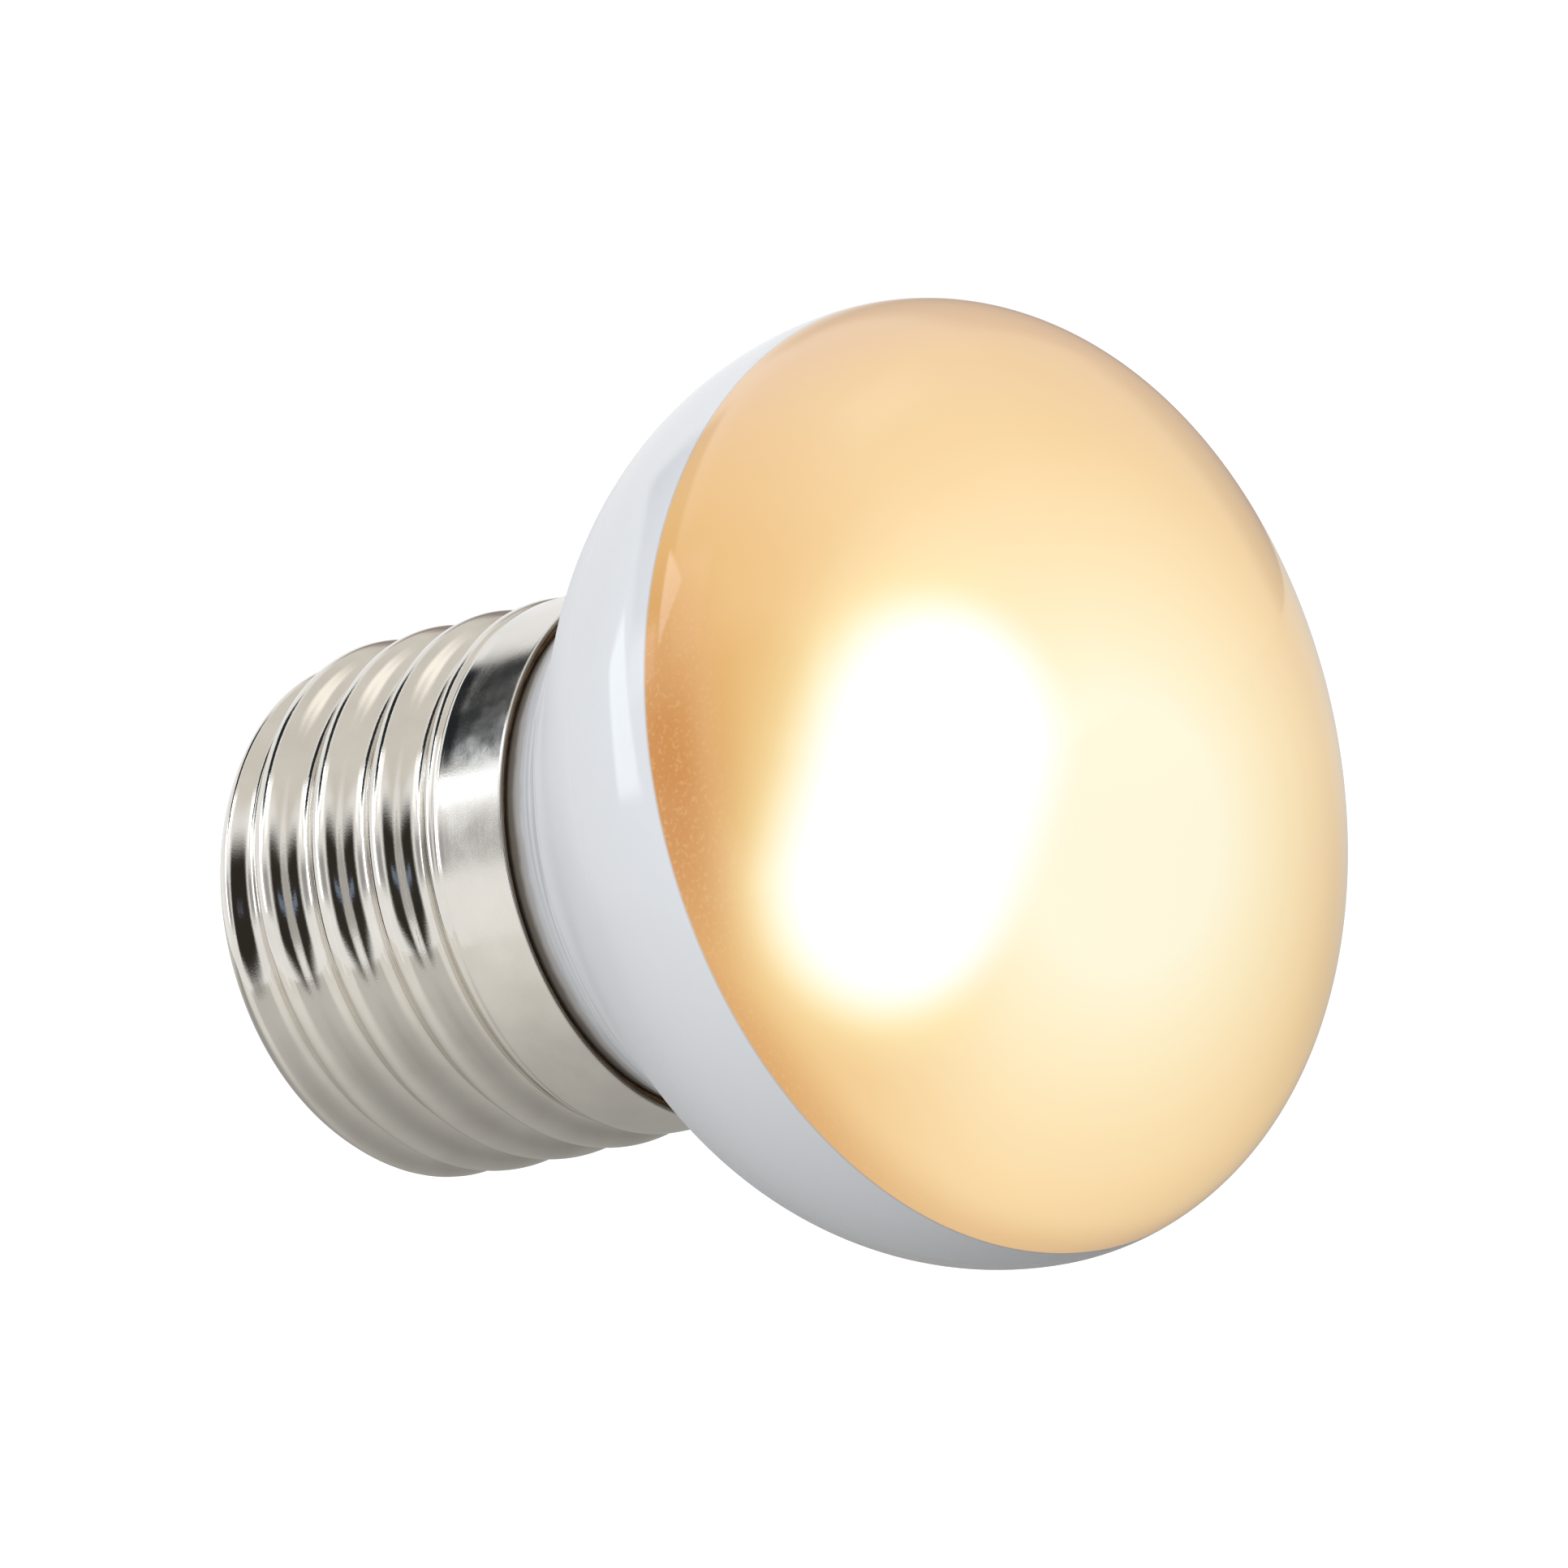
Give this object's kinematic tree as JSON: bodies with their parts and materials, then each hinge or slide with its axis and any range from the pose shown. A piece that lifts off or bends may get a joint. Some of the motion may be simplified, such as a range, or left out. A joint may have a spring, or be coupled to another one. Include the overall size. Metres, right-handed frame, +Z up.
{
  "type": "basking bulb",
  "caption": "Small reflector lamp for a basking spot: domed frosted face and coated flaring glass on a narrow neck, with a nickel-plated medium screw cap.",
  "frame": {"origin": "tip of the solder on the centre contact, on the lamp's axis", "axes": "+Y along the lamp's axis from the face to the contact, the way the lamp goes into its holder; the face looks towards -Y; +Z up; +X towards the side solder"},
  "size_m": [0.0446, 0.0552, 0.0446],
  "materials": {
    "bulb_glass": "gloss outside, white coated flare, frosted face",
    "nickel_plate": "bright nickel plate",
    "cement": "matt, baked",
    "black_glass": "gloss, opaque",
    "brass": "satin",
    "solder": "satin, cast",
    "lead_wire": "copper-clad wire"
  },
  "bodies": {
    "root": {"glass_bulb": "bulb_glass", "screw_shell": "nickel_plate", "basing_cement": "cement", "cap_insulator": "black_glass", "centre_contact": "brass", "contact_solder": "solder", "centre_lead": "lead_wire", "side_lead": "lead_wire", "side_solder": "solder"}
  },
  "joints": []
}
